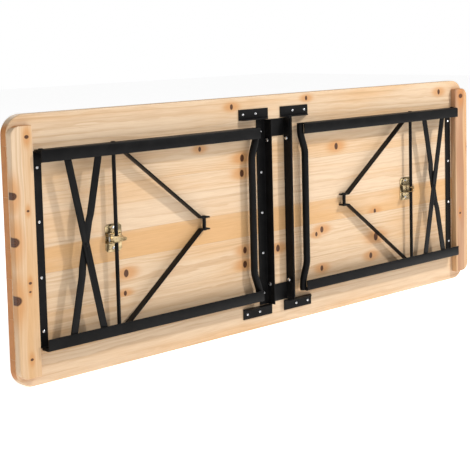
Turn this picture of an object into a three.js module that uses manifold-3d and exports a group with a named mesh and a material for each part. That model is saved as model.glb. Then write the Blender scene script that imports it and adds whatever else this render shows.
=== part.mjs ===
// Folding picnic table, folded flat and standing on one long edge.
// Millimetres. +X runs along the table, +Z across its width (up), and the underside faces -Y.
// Most places are given as three distances: s along the table from its middle, h out from the
// underside of the boards, and v across the table from its centre line.
import * as THREE from 'three';
import { mergeVertices } from 'three/addons/utils/BufferGeometryUtils.js';
import Module from 'manifold-3d';

const wasm = await Module();
wasm.setup();

// ---- Driving dimensions ----
const LENGTH = 1770;
const WIDTH = 660;
const BOARD_THICKNESS = 27;
const CORNER_RADIUS = 50;
const EDGE_RADIUS = 4;
const LEG_FACE = 37; // outer face of the folded legs, out from the underside
const GAP = 0.3; // running and resting clearance

const SEAMS = [257, 135, 12, -60, -158, -257]; // board joints, from the upper edge down
const HEART_BOARD = 3; // the darker plank, counted from the upper edge

const BATTEN_WIDTH = 61.5; // leaves room for the leg heads to swing past
const BATTEN_THICKNESS = 20;
const BATTEN_HALF_LENGTH = 304;
const BATTEN_CORNER = 25;

const PIVOT_S = 803; // leg hinge axis
const PIVOT_H = 20;
const ROD_REACH = 216; // leg hinge axis to cross rod
const ROD_S = PIVOT_S - ROD_REACH;
const ROD_H = PIVOT_H;
const ROD_RADIUS = 5;

const HINGE_RAIL_WIDTH = 24;
const HINGE_RAIL_HALF = 240;
const HINGE_SCREWS = [200, 68, -68, -200];
const EAR_RADIUS = 11;
const PIN_RADIUS = 4;

const STEEL = 3; // thickness of the angle and flat steel
const LEG_ANGLE = 30;
const LEG_OUTER = 244;
const LEG_FOOT_S = 88;
const LEG_HEAD_S = 813;

const CROSSBAR_RADIUS = 10;
const CROSSBAR_WALL = 1.6;
const CROSSBAR_S = 89.5;
const CROSSBAR_CRANK = 17;
const CROSSBAR_H = 18;

const X_MIDDLE_S = 689;
const X_RUN = 90; // difference in s between the ends of one diagonal, at the leg edges
const X_RISE = 426;
const X_WIDTH = 20;
const X_END = 238;
const X_FACE = LEG_FACE - STEEL - GAP;

const BRACE_LENGTH = ROD_REACH * Math.SQRT2; // puts the apex pin where the rod was, legs open
const BRACE_APEX_H = 9.8;
const BRACE_TILT = Math.asin((ROD_H - BRACE_APEX_H) / BRACE_LENGTH);
const BRACE_ROD_V = 236;
const BRACE_APEX_V = 16;
const BRACE_BAR = 4;
const BRACE_HEIGHT = 18;

const RAIL_S = 38; // inner face of the centre rails
const RAIL_FLANGE = 33;
const RAIL_HEIGHT = 30;
const RAIL_HALF = 263;
const RAIL_SCREWS = [230, 115, 0, -115, -230];

const TAB_START = 25;
const TAB_END = 137;
const TAB_V = 265;
const TAB_FLANGE = 30;
const TAB_HEIGHT = 20;
const TAB_TAPER = 16;
const TAB_SCREWS = [74, 122];

const LATCH_START = 556;
const LATCH_END = 608;
const LATCH_HALF = 36;
const LATCH_SHEET = 1.5;
const LATCH_PIVOT_S = 601;
const LATCH_PIVOT_H = 10;
const LATCH_WALL_V = 12;
const LEVER_HALF = 8; // half width of the lever round the rod
const LEVER_TIP_HALF = 2.8;
const LEVER_SHEET = 1.2;
const LEVER_TAPER_H = 28; // where the lever starts to narrow
const LEVER_TIP_H = 43; // the furthest point out of the folded table
const LATCH_SCREW_S = 582;
const LATCH_SCREW_V = 26;

const SCREW_HEAD = 4.2;
const SCREW_SHANK = 2;
const SCREW_LENGTH = 17;

// The part's origin is under the middle of its box, so the underside sits off the middle.
const UNDER_Y = (LEVER_TIP_H - BOARD_THICKNESS) / 2;
const MIDDLE_Z = WIDTH / 2;
const SIDES = { left: -1, right: 1 };
const EDGES = { upper: 1, lower: -1 };

const yAt = (h) => UNDER_Y - h;
const zAt = (v) => MIDDLE_Z + v;

// ---- Materials ----
function finish(color, roughness, metalness) {
  return new THREE.MeshStandardMaterial({ color, roughness, metalness });
}
const wood = finish(0xe6c79a, 0.6, 0);
const heartwood = finish(0xdfa868, 0.6, 0);
const blackSteel = finish(0x17181a, 0.45, 0.3);
const brass = finish(0xb9933f, 0.35, 0.9);
const zinc = finish(0xc9ccd0, 0.3, 0.9);

// ---- Geometry helpers ----
const BASIS_ALONG_X = new THREE.Matrix4().makeBasis(
  new THREE.Vector3(0, 1, 0),
  new THREE.Vector3(0, 0, 1),
  new THREE.Vector3(1, 0, 0),
);
const BASIS_ALONG_DEPTH = new THREE.Matrix4().makeBasis(
  new THREE.Vector3(1, 0, 0),
  new THREE.Vector3(0, 0, 1),
  new THREE.Vector3(0, -1, 0),
);

function shapeOf(points) {
  return new THREE.Shape(points.map(([a, b]) => new THREE.Vector2(a, b)));
}

function extrude(shape, depth, curveSegments = 6) {
  return new THREE.ExtrudeGeometry(shape, { depth, bevelEnabled: false, curveSegments });
}

// An outline in x and y, running from one v to another.
function acrossTable(shape, v0, v1, curveSegments) {
  return extrude(shape, v1 - v0, curveSegments).translate(0, 0, zAt(v0));
}

// An outline in y and z, running from one x to another.
function alongTable(shape, x0, x1, curveSegments) {
  return extrude(shape, x1 - x0, curveSegments).applyMatrix4(BASIS_ALONG_X).translate(x0, 0, 0);
}

// An outline in x and z, running from one distance out of the boards to another.
function outOfBoard(shape, h0, h1, curveSegments) {
  return extrude(shape, h1 - h0, curveSegments)
    .applyMatrix4(BASIS_ALONG_DEPTH)
    .translate(0, yAt(h0), 0);
}

// Outline points given as (s, h) on one side of the table.
const sideOutline = (side, points) => shapeOf(points.map(([s, h]) => [side * s, yAt(h)]));
// Outline points given as (s, v) on one side of the table.
const planOutline = (side, points) => shapeOf(points.map(([s, v]) => [side * s, zAt(v)]));

function roundedRectangle(x0, z0, x1, z1, radii) {
  const [bottomLeft, bottomRight, topRight, topLeft] = radii;
  const shape = new THREE.Shape();
  shape.moveTo(x0 + bottomLeft, z0);
  shape.lineTo(x1 - bottomRight, z0);
  shape.absarc(x1 - bottomRight, z0 + bottomRight, bottomRight, -Math.PI / 2, 0, false);
  shape.lineTo(x1, z1 - topRight);
  shape.absarc(x1 - topRight, z1 - topRight, topRight, 0, Math.PI / 2, false);
  shape.lineTo(x0 + topLeft, z1);
  shape.absarc(x0 + topLeft, z1 - topLeft, topLeft, Math.PI / 2, Math.PI, false);
  shape.lineTo(x0, z0 + bottomLeft);
  shape.absarc(x0 + bottomLeft, z0 + bottomLeft, bottomLeft, Math.PI, Math.PI * 1.5, false);
  return shape;
}

// A cylinder along z, from one v to another.
function barAcross(x, y, radius, v0, v1, segments = 16) {
  return new THREE.CylinderGeometry(radius, radius, v1 - v0, segments)
    .rotateX(Math.PI / 2)
    .translate(x, y, zAt((v0 + v1) / 2));
}

// A cylinder out of the boards, from one h to another.
function barOut(x, v, radius, h0, h1, segments = 12) {
  return new THREE.CylinderGeometry(radius, radius, h1 - h0, segments)
    .translate(x, yAt((h0 + h1) / 2), zAt(v));
}

// ---- Booleans ----
function toManifold(geometry) {
  const bare = geometry.clone();
  bare.deleteAttribute('normal');
  bare.deleteAttribute('uv');
  const merged = mergeVertices(bare, 1e-4);
  const mesh = new wasm.Mesh({
    numProp: 3,
    vertProperties: new Float32Array(merged.attributes.position.array),
    triVerts: new Uint32Array(merged.index.array),
  });
  return new wasm.Manifold(mesh);
}

function toGeometry(manifold) {
  const mesh = manifold.getMesh();
  const geometry = new THREE.BufferGeometry();
  geometry.setAttribute('position', new THREE.BufferAttribute(mesh.vertProperties, 3));
  geometry.setIndex(new THREE.BufferAttribute(mesh.triVerts, 1));
  return geometry;
}

function join(...geometries) {
  return toGeometry(geometries.map(toManifold).reduce((whole, piece) => whole.add(piece)));
}

function cut(geometry, ...tools) {
  const start = toManifold(geometry);
  return toGeometry(tools.map(toManifold).reduce((whole, tool) => whole.subtract(tool), start));
}

function overlapOf(first, second) {
  return toGeometry(toManifold(first).intersect(toManifold(second)));
}

// ---- The scene graph ----
const table = new THREE.Group();
table.name = 'folding_picnic_table';

function place(name, geometry, material, parent = table) {
  const mesh = new THREE.Mesh(geometry, material);
  mesh.name = name;
  parent.add(mesh);
  return mesh;
}

// ---- Screws and the holes they sit in ----
// Every screw goes straight into the underside at (x, v), with the bottom of its head at seat.
const pilotHoles = [];

function screwAt(x, v, seat) {
  const dome = [[0, 2.5], [2.4, 1.9], [SCREW_HEAD, 0.5], [SCREW_HEAD, 0]];
  const shank = [[SCREW_SHANK, 0], [SCREW_SHANK, 2 - SCREW_LENGTH], [0, -SCREW_LENGTH]];
  const profile = [...dome, ...shank].reverse().map(([r, y]) => new THREE.Vector2(r, y));
  pilotHoles.push(barOut(x, v, SCREW_SHANK + GAP, -SCREW_LENGTH - 1, 1, 8));
  return new THREE.LatheGeometry(profile, 8)
    .rotateX(Math.PI)
    .translate(x, yAt(seat), zAt(v));
}

// The screws of the rails and tabs are pulled down hard and are one solid with the steel.
const tightScrewAt = (x, v) => screwAt(x, v, GAP + STEEL - 0.1);

// ---- Hinge rails: a strip beside each end batten, with an ear bent up at each end ----
function addHingeRail(label, side) {
  const s0 = PIVOT_S - HINGE_RAIL_WIDTH / 2 + 0.5;
  const s1 = s0 + HINGE_RAIL_WIDTH;
  const strip = outOfBoard(
    planOutline(side, [
      [s0, -HINGE_RAIL_HALF],
      [s1, -HINGE_RAIL_HALF],
      [s1, HINGE_RAIL_HALF],
      [s0, HINGE_RAIL_HALF],
    ]),
    GAP,
    GAP + STEEL,
  );
  const earShape = new THREE.Shape();
  const x = side * PIVOT_S;
  earShape.moveTo(x - EAR_RADIUS, yAt(GAP));
  earShape.lineTo(x + EAR_RADIUS, yAt(GAP));
  earShape.lineTo(x + EAR_RADIUS, yAt(PIVOT_H));
  earShape.absarc(x, yAt(PIVOT_H), EAR_RADIUS, 0, Math.PI, true);
  earShape.lineTo(x - EAR_RADIUS, yAt(GAP));
  const ears = [-1, 1].map((end) => {
    const v = end * (HINGE_RAIL_HALF - STEEL / 2);
    return acrossTable(earShape, v - STEEL / 2, v + STEEL / 2, 8);
  });
  const middle = side * (s0 + s1) / 2;
  const pinHole = barAcross(x, yAt(PIVOT_H), PIN_RADIUS + GAP, -WIDTH / 2, WIDTH / 2);
  const screws = HINGE_SCREWS.map((v) => tightScrewAt(middle, v));
  place(`hinge_rail_${label}`, cut(join(strip, ...ears, ...screws), pinHole), blackSteel);
}

// ---- Leg hinge pins: a head outside the leg and a peened end inside the ear ----
function addHingePins(label, side) {
  const inner = HINGE_RAIL_HALF - STEEL - GAP;
  const outer = LEG_OUTER + GAP;
  const profile = [
    [0, inner - 2.5],
    [5, inner - 2.5],
    [5.5, inner],
    [PIN_RADIUS, inner],
    [PIN_RADIUS, outer],
    [6.5, outer],
    [5.5, outer + 2.5],
    [0, outer + 2.5],
  ].map(([r, y]) => new THREE.Vector2(r, y));
  for (const [edge, end] of Object.entries(EDGES)) {
    const pin = new THREE.LatheGeometry(profile, 14)
      .rotateX(end * Math.PI / 2)
      .translate(side * PIVOT_S, yAt(PIVOT_H), MIDDLE_Z);
    place(`hinge_pin_${edge}_${label}`, pin, blackSteel);
  }
}

// ---- Legs: steel angle, one flange facing out of the table and one facing its long edge ----
function legSection(end) {
  const outer = LEG_OUTER;
  const points = [
    [outer, LEG_FACE - 3],
    [outer - 0.9, LEG_FACE - 0.9],
    [outer - 3, LEG_FACE],
    [outer - LEG_ANGLE, LEG_FACE],
    [outer - LEG_ANGLE, LEG_FACE - STEEL],
    [outer - STEEL, LEG_FACE - STEEL],
    [outer - STEEL, LEG_FACE - LEG_ANGLE],
    [outer, LEG_FACE - LEG_ANGLE],
  ];
  return shapeOf(points.map(([v, h]) => [yAt(h), zAt(end * v)]));
}

function addLeg(name, side, end) {
  const xs = [side * LEG_FOOT_S, side * LEG_HEAD_S].sort((a, b) => a - b);
  const bar = alongTable(legSection(end), xs[0], xs[1]);
  const v0 = end > 0 ? LEG_OUTER - 20 : -LEG_OUTER - 6;
  const hole = (s, h, radius) => barAcross(side * s, yAt(h), radius, v0, v0 + 26, 20);
  place(
    name,
    cut(
      bar,
      hole(PIVOT_S, PIVOT_H, PIN_RADIUS + GAP),
      hole(ROD_S, ROD_H, ROD_RADIUS + GAP),
      hole(CROSSBAR_S, CROSSBAR_H, CROSSBAR_RADIUS + GAP),
    ),
    blackSteel,
  );
}

// ---- Cross rod: runs through both legs, with a head at each end; the latch holds it ----
function addRod(label, side) {
  const outer = LEG_OUTER + GAP;
  const profile = [
    [0, -outer - 2.5],
    [6, -outer - 2.5],
    [7, -outer],
    [ROD_RADIUS, -outer],
    [ROD_RADIUS, outer],
    [7, outer],
    [6, outer + 2.5],
    [0, outer + 2.5],
  ].map(([r, y]) => new THREE.Vector2(r, y));
  const rod = new THREE.LatheGeometry(profile, 16)
    .rotateX(Math.PI / 2)
    .translate(side * ROD_S, yAt(ROD_H), MIDDLE_Z);
  place(`cross_rod_${label}`, rod, blackSteel);
}

// ---- Crossbar: round tube at the foot of each leg frame, cranked up off the floor ----
class CrankedLine extends THREE.Curve {
  constructor(side) {
    super();
    this.side = side;
  }

  getPoint(t, target = new THREE.Vector3()) {
    const v = (2 * t - 1) * LEG_OUTER;
    const raised = THREE.MathUtils.smoothstep(LEG_OUTER - Math.abs(v), 22, 88);
    const s = CROSSBAR_S + CROSSBAR_CRANK * raised;
    return target.set(this.side * s, yAt(CROSSBAR_H), zAt(v));
  }
}

function addCrossbar(label, side) {
  const ring = new THREE.Shape();
  ring.absarc(0, 0, CROSSBAR_RADIUS, 0, Math.PI * 2, false);
  const bore = new THREE.Path();
  bore.absarc(0, 0, CROSSBAR_RADIUS - CROSSBAR_WALL, 0, Math.PI * 2, true);
  ring.holes.push(bore);
  const tube = new THREE.ExtrudeGeometry(ring, {
    steps: 22,
    curveSegments: 6,
    bevelEnabled: false,
    extrudePath: new CrankedLine(side),
  });
  place(`foot_crossbar_${label}`, tube, blackSteel);
}

// ---- X brace: two flat bars on the back of the leg flanges, one joggled under the other ----
function xBarPlan(side, lean) {
  const half = X_WIDTH / 2 / Math.cos(Math.atan2(X_RUN, X_RISE));
  const reach = X_END * X_RUN / X_RISE;
  return planOutline(side, [
    [X_MIDDLE_S + lean * reach - half, X_END],
    [X_MIDDLE_S + lean * reach + half, X_END],
    [X_MIDDLE_S - lean * reach + half, -X_END],
    [X_MIDDLE_S - lean * reach - half, -X_END],
  ]);
}

function joggledProfile() {
  const drop = STEEL + GAP;
  const face = [[-X_END, 0], [-74, 0], [-54, drop], [54, drop], [74, 0], [X_END, 0]];
  const near = face.map(([v, down]) => [yAt(X_FACE - down), zAt(v)]);
  const far = face.map(([v, down]) => [yAt(X_FACE - down - STEEL), zAt(v)]).reverse();
  return shapeOf([...near, ...far]);
}

function addXBrace(label, side) {
  const rivetHole = barOut(side * X_MIDDLE_S, 0, 3 + GAP, 0, LEG_FACE + 5, 12);
  const straight = outOfBoard(xBarPlan(side, 1), X_FACE - STEEL, X_FACE);
  const joggled = overlapOf(
    alongTable(joggledProfile(), -LENGTH / 2, LENGTH / 2),
    outOfBoard(xBarPlan(side, -1), 10, LEG_FACE),
  );
  place(`x_bar_outer_${label}`, cut(straight, rivetHole), blackSteel);
  place(`x_bar_inner_${label}`, cut(joggled, rivetHole), blackSteel);
  const low = X_FACE - 2 * STEEL - 2 * GAP;
  const rivet = [
    [0, low - 1.6],
    [4, low - 1.6],
    [5.5, low],
    [3, low],
    [3, X_FACE + GAP],
    [5.5, X_FACE + GAP],
    [4, X_FACE + GAP + 1.6],
    [0, X_FACE + GAP + 1.6],
  ].map(([r, h]) => new THREE.Vector2(r, h));
  const pin = new THREE.LatheGeometry(rivet, 12)
    .rotateX(Math.PI)
    .translate(side * X_MIDDLE_S, UNDER_Y, MIDDLE_Z);
  place(`x_rivet_${label}`, pin, blackSteel);
}

// ---- V brace: two bars on edge from the rod to a short apex pin ----
// Built level in a group that turns about the rod, then tilted so the apex lies near the boards.
function addBrace(label, side) {
  const hanger = new THREE.Group();
  hanger.position.set(side * ROD_S, yAt(ROD_H), MIDDLE_Z);
  hanger.rotation.z = -side * BRACE_TILT;
  table.add(hanger);

  const bar = (end) => {
    const rodV = end * BRACE_ROD_V;
    const apexV = end * BRACE_APEX_V;
    const centre = [
      [10, rodV],
      [-10, rodV],
      [-(BRACE_LENGTH - 13), apexV],
      [-(BRACE_LENGTH + 13), apexV],
    ];
    const outline = shapeOf(thickened(centre, BRACE_BAR / 2).map(([s, v]) => [side * s, v]));
    const blade = extrude(outline, BRACE_HEIGHT)
      .applyMatrix4(BASIS_ALONG_DEPTH)
      .translate(0, BRACE_HEIGHT / 2, 0);
    const disc = (s, v, radius, thickness) => new THREE.CylinderGeometry(
      radius,
      radius,
      thickness,
      20,
    ).rotateX(Math.PI / 2).translate(side * s, 0, v);
    const eyes = [disc(0, rodV, 9, BRACE_BAR), disc(-BRACE_LENGTH, apexV, 8, BRACE_BAR)];
    const holes = [
      disc(0, rodV, ROD_RADIUS + GAP, 20),
      disc(-BRACE_LENGTH, apexV, ROD_RADIUS + GAP, 20),
    ];
    return cut(join(blade, ...eyes), ...holes);
  };
  place(`brace_arm_upper_${label}`, bar(1), blackSteel, hanger);
  place(`brace_arm_lower_${label}`, bar(-1), blackSteel, hanger);

  const outer = BRACE_APEX_V + BRACE_BAR / 2 + GAP;
  const profile = [
    [0, -outer - 1.5],
    [6.2, -outer - 1.5],
    [6.2, -outer],
    [ROD_RADIUS, -outer],
    [ROD_RADIUS, outer],
    [6.2, outer],
    [6.2, outer + 1.5],
    [0, outer + 1.5],
  ].map(([r, y]) => new THREE.Vector2(r, y));
  const pin = new THREE.LatheGeometry(profile, 16)
    .rotateX(Math.PI / 2)
    .translate(-side * BRACE_LENGTH, 0, 0);
  place(`brace_apex_pin_${label}`, pin, blackSteel, hanger);
}

// The outline of a strip of even thickness that follows a bent centre line.
function thickened(centre, half) {
  const points = centre.map(([a, b]) => new THREE.Vector2(a, b));
  const sideLine = (sign) => points.map((point, i) => {
    const before = points[Math.max(i - 1, 0)];
    const after = points[Math.min(i + 1, points.length - 1)];
    const first = point.clone().sub(before);
    const second = after.clone().sub(point);
    if (first.length() === 0) first.copy(second);
    if (second.length() === 0) second.copy(first);
    first.normalize();
    second.normalize();
    const normal = new THREE.Vector2(-first.y - second.y, first.x + second.x).normalize();
    const stretch = 1 / (normal.y * first.x - normal.x * first.y);
    const shifted = point.clone().addScaledVector(normal, sign * half * stretch);
    return [shifted.x, shifted.y];
  });
  return [...sideLine(1), ...sideLine(-1).reverse()];
}

// ---- Centre rails: two steel angles across the underside ----
function addCentreRail(label, side) {
  const web = RAIL_S + STEEL;
  const section = sideOutline(side, [
    [RAIL_S, GAP + 2.5],
    [RAIL_S + 0.8, GAP + 0.8],
    [RAIL_S + 2.5, GAP],
    [RAIL_S + RAIL_FLANGE, GAP],
    [RAIL_S + RAIL_FLANGE, GAP + STEEL],
    [web, GAP + STEEL],
    [web, RAIL_HEIGHT],
    [RAIL_S, RAIL_HEIGHT],
  ]);
  const middle = side * (web + (RAIL_FLANGE - STEEL) / 2);
  const boltHoles = [-1, 1].map((end) => boltHole(side, end));
  const screws = RAIL_SCREWS.map((v) => tightScrewAt(middle, v));
  const rail = acrossTable(section, -RAIL_HALF, RAIL_HALF);
  place(`centre_rail_${label}`, cut(join(rail, ...screws), ...boltHoles), blackSteel);
}

// ---- Tie brackets: a channel between the two rails at each end, bolted through their webs ----
const BOLT_V = 205;
const BOLT_H = 14;
const BOLT_RADIUS = 3;
const TIE_START = 213;
const TIE_END = 262;

function boltHole(side, end) {
  return new THREE.CylinderGeometry(BOLT_RADIUS + GAP, BOLT_RADIUS + GAP, 30, 12)
    .rotateZ(Math.PI / 2)
    .translate(side * RAIL_S, yAt(BOLT_H), zAt(end * BOLT_V));
}

function addTieBracket(name, end) {
  const inner = RAIL_S - GAP;
  const lowest = GAP;
  const vs = [end * TIE_START, end * TIE_END].sort((a, b) => a - b);
  const channel = acrossTable(
    shapeOf([
      [-inner, 26],
      [-inner, lowest],
      [inner, lowest],
      [inner, 26],
      [inner - STEEL, 26],
      [inner - STEEL, lowest + STEEL],
      [-inner + STEEL, lowest + STEEL],
      [-inner + STEEL, 26],
    ].map(([x, h]) => [x, yAt(h)])),
    vs[0],
    vs[1],
  );
  const lugs = [-1, 1].map((side) => {
    const section = new THREE.Shape();
    const z = zAt(end * BOLT_V);
    const root = zAt(end * (TIE_START + 2));
    const y = yAt(BOLT_H);
    section.moveTo(y - 8, root);
    section.lineTo(y - 8, z);
    section.absarc(y, z, 8, Math.PI, 0, end > 0 ? false : true);
    section.lineTo(y + 8, root);
    const xs = [side * (inner - STEEL), side * inner].sort((a, b) => a - b);
    return alongTable(section, xs[0], xs[1], 8);
  });
  const holes = [-1, 1].map((side) => boltHole(side, end));
  place(name, cut(join(channel, ...lugs), ...holes), blackSteel);
}

function addRailBolts(label, side) {
  const near = RAIL_S - STEEL - 2 * GAP;
  const far = RAIL_S + STEEL + GAP;
  const profile = [
    [0, near - 2.6],
    [3, near - 2.4],
    [5.2, near - 1],
    [5.2, near],
    [BOLT_RADIUS, near],
    [BOLT_RADIUS, far],
    [5.5, far],
    [5.5, far + 3],
    [0, far + 3],
  ].map(([r, s]) => new THREE.Vector2(r, s));
  for (const [edge, end] of Object.entries(EDGES)) {
    const bolt = new THREE.LatheGeometry(profile, 12)
      .rotateZ(-side * Math.PI / 2)
      .translate(0, yAt(BOLT_H), zAt(end * BOLT_V));
    place(`rail_bolt_${edge}_${label}`, bolt, zinc);
  }
}

// ---- Corner tabs: short angles on the outer boards, at the ends of the centre rails ----
function addTab(name, side, end) {
  const flat = outOfBoard(
    planOutline(side, [
      [TAB_START, end * TAB_V],
      [TAB_END, end * TAB_V],
      [TAB_END, end * (TAB_V + TAB_FLANGE)],
      [TAB_START, end * (TAB_V + TAB_FLANGE)],
    ]),
    GAP,
    GAP + STEEL,
  );
  const standing = sideOutline(side, [
    [TAB_START, GAP],
    [TAB_END, GAP],
    [TAB_END, GAP + STEEL],
    [TAB_END - TAB_TAPER, TAB_HEIGHT],
    [TAB_START + TAB_TAPER, TAB_HEIGHT],
    [TAB_START, GAP + STEEL],
  ]);
  const vs = [end * TAB_V, end * (TAB_V + STEEL)].sort((a, b) => a - b);
  const flange = acrossTable(standing, vs[0], vs[1]);
  const v = end * (TAB_V + STEEL + 13);
  const screws = TAB_SCREWS.map((s) => tightScrewAt(side * s, v));
  place(name, join(flat, flange, ...screws), blackSteel);
}

// ---- Latches: a sheet plate with two slotted walls, and a sprung lever that hooks the rod ----
function latchPlate(side) {
  const c = 7;
  const base = outOfBoard(
    planOutline(side, [
      [LATCH_START + c, -LATCH_HALF],
      [LATCH_END - c, -LATCH_HALF],
      [LATCH_END, -LATCH_HALF + c],
      [LATCH_END, LATCH_HALF - c],
      [LATCH_END - c, LATCH_HALF],
      [LATCH_START + c, LATCH_HALF],
      [LATCH_START, LATCH_HALF - c],
      [LATCH_START, -LATCH_HALF + c],
    ]),
    GAP,
    GAP + LATCH_SHEET,
  );
  const wallShape = sideOutline(side, [
    [LATCH_START + 4, GAP],
    [LATCH_END, GAP],
    [LATCH_END, 13],
    [LATCH_END - 5, 18],
    [598, 22],
    [592.6, 22],
    [592.6, 18],
    [590.5, 15.4],
    [ROD_S, 14.4],
    [583.5, 15.4],
    [581.4, 17],
    [572, 15],
    [LATCH_START + 4, 6],
  ]);
  const walls = [-1, 1].map((end) => {
    const v = end * (LATCH_WALL_V - LATCH_SHEET / 2);
    return acrossTable(wallShape, v - LATCH_SHEET / 2, v + LATCH_SHEET / 2);
  });
  const holes = [-1, 1].map((end) => barOut(
    side * LATCH_SCREW_S,
    end * LATCH_SCREW_V,
    SCREW_SHANK + GAP,
    -1,
    8,
    8,
  ));
  const pinHole = barAcross(side * LATCH_PIVOT_S, yAt(LATCH_PIVOT_H), 2 + GAP, -20, 20, 12);
  return cut(join(base, ...walls), pinHole, ...holes);
}

// A block as wide as the lever, which narrows towards the tip of its tongue.
function leverWidth(half, tipHalf, side) {
  const outline = [
    [-1, -half],
    [LEVER_TAPER_H, -half],
    [LEVER_TIP_H + 1, -tipHalf],
    [LEVER_TIP_H + 1, tipHalf],
    [LEVER_TAPER_H, half],
    [-1, half],
  ].map(([h, v]) => [yAt(h), zAt(v)]);
  const xs = [side * 560, side * 615].sort((a, b) => a - b);
  return alongTable(shapeOf(outline), xs[0], xs[1]);
}

function latchLever(side) {
  const cheekShape = sideOutline(side, [
    [607, 7],
    [607.4, 12],
    [603.5, 18],
    [595, 28],
    [584, 36.5],
    [575, LEVER_TIP_H],
    [571, LEVER_TIP_H],
    [572, 37.5],
    [575.5, 33],
    [573, 30],
    [573.5, 17.5],
    [579.8, 17.5],
    [580.2, 22.5],
    [583, 25.9],
    [590.4, 25.9],
    [593.4, 22],
    [594.5, 13],
    [597, 5.5],
    [602, 3.6],
  ]);
  const webShape = sideOutline(side, [
    [575, LEVER_TIP_H],
    [571, LEVER_TIP_H],
    [572, 37.5],
    [575.5, 33],
    [579.5, 29.6],
    [589.5, 27.2],
    [594.8, 22.4],
    [596.2, 23.6],
    [590.6, 29],
    [581, 31.4],
    [577.2, 34.2],
    [573.8, 38],
    [573.5, 41],
    [576.9, 41],
  ]);
  const outside = leverWidth(LEVER_HALF, LEVER_TIP_HALF, side);
  const inside = leverWidth(LEVER_HALF - LEVER_SHEET, LEVER_TIP_HALF - LEVER_SHEET, side);
  const cheeks = cut(overlapOf(acrossTable(cheekShape, -20, 20), outside), inside);
  const web = overlapOf(acrossTable(webShape, -20, 20), outside);
  const pinHole = barAcross(side * LATCH_PIVOT_S, yAt(LATCH_PIVOT_H), 2 + GAP, -20, 20, 12);
  return cut(join(cheeks, web), pinHole);
}

class SpringCoil extends THREE.Curve {
  constructor(radius, turns, width) {
    super();
    this.radius = radius;
    this.turns = turns;
    this.width = width;
  }

  getPoint(t, target = new THREE.Vector3()) {
    const angle = t * this.turns * Math.PI * 2;
    const x = this.radius * Math.cos(angle);
    const y = this.radius * Math.sin(angle);
    return target.set(x, y, (t - 0.5) * this.width);
  }
}

function addLatch(label, side) {
  place(`latch_plate_${label}`, latchPlate(side), brass);
  place(`latch_lever_${label}`, latchLever(side), brass);

  const outer = LATCH_WALL_V + GAP;
  const profile = [
    [0, -outer - 1],
    [3.2, -outer - 1],
    [3.2, -outer],
    [2, -outer],
    [2, outer],
    [3.2, outer],
    [3.2, outer + 1],
    [0, outer + 1],
  ].map(([r, y]) => new THREE.Vector2(r, y));
  const pin = new THREE.LatheGeometry(profile, 12)
    .rotateX(Math.PI / 2)
    .translate(side * LATCH_PIVOT_S, yAt(LATCH_PIVOT_H), MIDDLE_Z);
  place(`latch_pin_${label}`, pin, zinc);

  const wire = new THREE.Shape();
  wire.absarc(0, 0, 0.45, 0, Math.PI * 2, false);
  const spring = new THREE.ExtrudeGeometry(wire, {
    steps: 36,
    curveSegments: 3,
    bevelEnabled: false,
    extrudePath: new SpringCoil(3.1, 4, 9),
  }).translate(side * LATCH_PIVOT_S, yAt(LATCH_PIVOT_H), MIDDLE_Z);
  place(`latch_spring_${label}`, spring, zinc);

  for (const [edge, end] of Object.entries(EDGES)) {
    const seat = LATCH_SHEET + 2 * GAP;
    const screw = screwAt(side * LATCH_SCREW_S, end * LATCH_SCREW_V, seat);
    place(`latch_screw_${edge}_${label}`, screw, zinc);
  }
}

// ---- Boards: seven glued planks, the outer two rounded along their long edge ----
function boardPlan() {
  const radii = [CORNER_RADIUS, CORNER_RADIUS, CORNER_RADIUS, CORNER_RADIUS];
  const shape = roundedRectangle(-LENGTH / 2, 0, LENGTH / 2, WIDTH, radii);
  return outOfBoard(shape, -BOARD_THICKNESS - 1, 1, 8);
}

function addBoards() {
  const edges = [WIDTH / 2, ...SEAMS, -WIDTH / 2];
  const plan = boardPlan();
  const names = edges.slice(2).map((_, i) => (i === 0 ? 'edge_board_upper' : `board_${i}`));
  names.push('edge_board_lower');
  for (let i = 0; i < edges.length - 1; i += 1) {
    const top = edges[i] - (i > 0 ? GAP / 2 : 0);
    const bottom = edges[i + 1] + (i < edges.length - 2 ? GAP / 2 : 0);
    const upper = i === 0 ? EDGE_RADIUS : 0.01;
    const lower = i === edges.length - 2 ? EDGE_RADIUS : 0.01;
    const section = roundedRectangle(
      yAt(0),
      zAt(bottom),
      yAt(-BOARD_THICKNESS),
      zAt(top),
      [lower, lower, upper, upper],
    );
    const plank = alongTable(section, -LENGTH / 2 - 1, LENGTH / 2 + 1, 4);
    const reachable = pilotHoles.filter((hole) => {
      hole.computeBoundingBox();
      const z = (hole.boundingBox.min.z + hole.boundingBox.max.z) / 2;
      return z > zAt(bottom) && z < zAt(top);
    });
    const material = i === HEART_BOARD ? heartwood : wood;
    place(names[i], cut(overlapOf(plank, plan), ...reachable), material);
  }
}

// ---- End battens: thicker strips glued across the boards at each end ----
function addBatten(label, side) {
  const x0 = LENGTH / 2 - BATTEN_WIDTH;
  const x1 = LENGTH / 2;
  const radii = side > 0
    ? [3, BATTEN_CORNER, BATTEN_CORNER, 3]
    : [BATTEN_CORNER, 3, 3, BATTEN_CORNER];
  const xs = [side * x0, side * x1].sort((a, b) => a - b);
  const shape = roundedRectangle(
    xs[0],
    zAt(-BATTEN_HALF_LENGTH),
    xs[1],
    zAt(BATTEN_HALF_LENGTH),
    radii,
  );
  place(`end_batten_${label}`, outOfBoard(shape, GAP, BATTEN_THICKNESS, 5), wood);
}

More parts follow.
